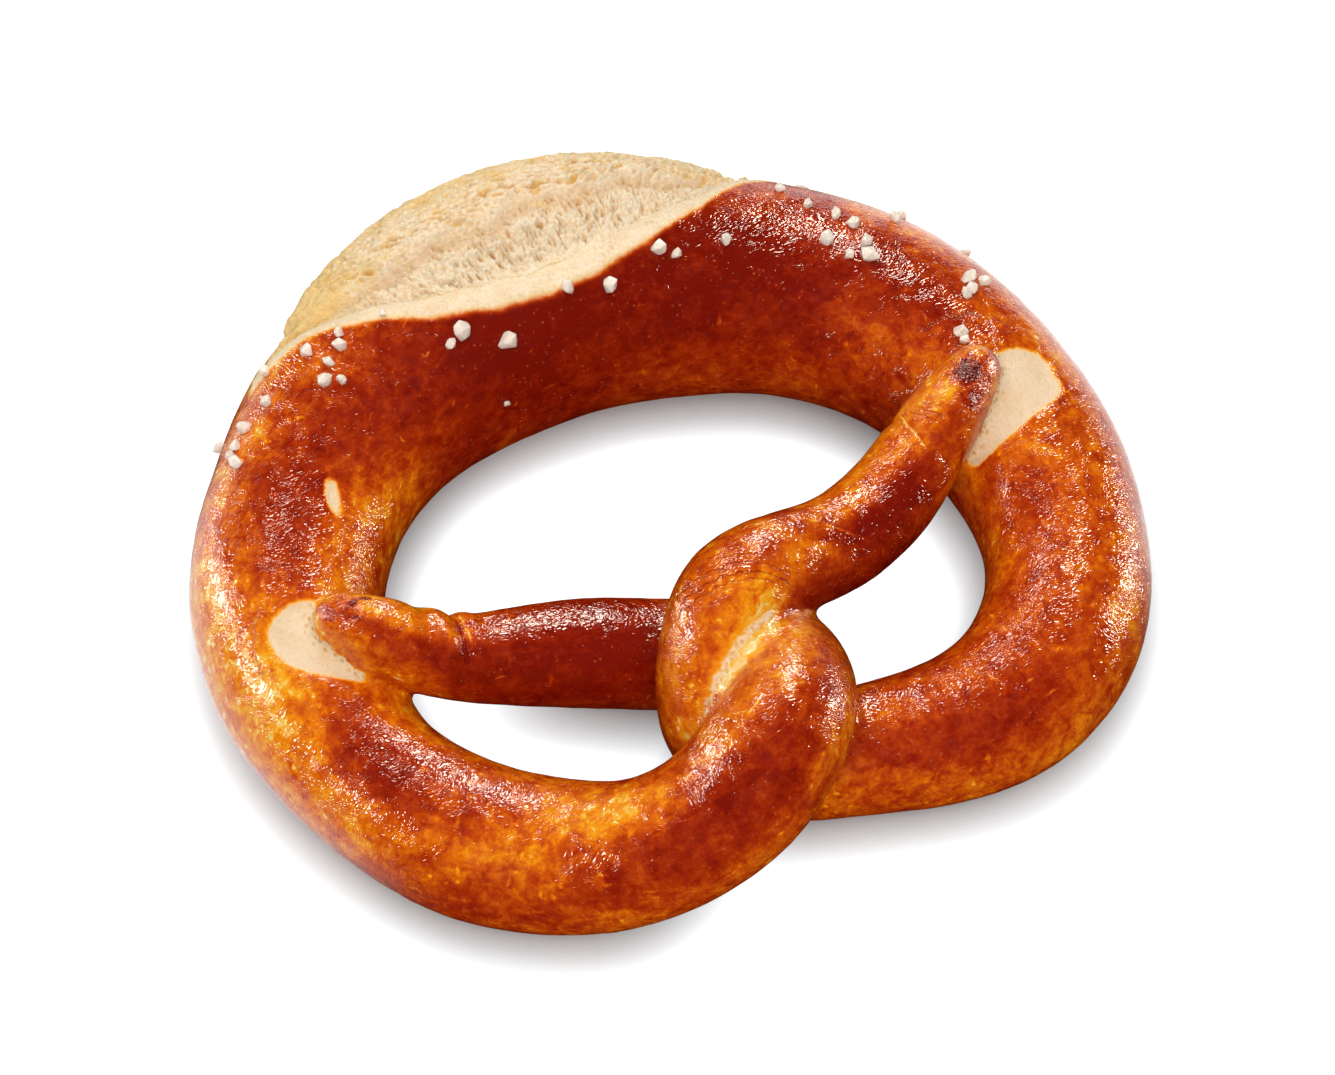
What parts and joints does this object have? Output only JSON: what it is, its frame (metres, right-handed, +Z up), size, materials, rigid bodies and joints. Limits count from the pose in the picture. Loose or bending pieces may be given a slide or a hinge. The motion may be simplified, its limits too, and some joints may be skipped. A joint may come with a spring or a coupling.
{
  "type": "swabian pretzel",
  "caption": "Baked dough rope in a twisted loop with thin arms pressed onto its sides, a fat belly split open along the top, and coarse salt.",
  "frame": {"origin": "middle of the bounding box, on the tray that the pretzel lies on", "axes": "+Z up; +Y towards the fat split belly, -Y towards the twist; the left arm's tip is at -X and the right arm's tip at +X"},
  "size_m": [0.1529, 0.1351, 0.0394],
  "materials": {
    "crust": "glossy mottled red-brown lye crust, golden where the dough was shielded",
    "crumb": "dry torn cream-coloured crumb with pores and fibres",
    "salt": "translucent white coarse grains"
  },
  "bodies": {
    "root": {"pretzel": "crust"}
  },
  "joints": []
}
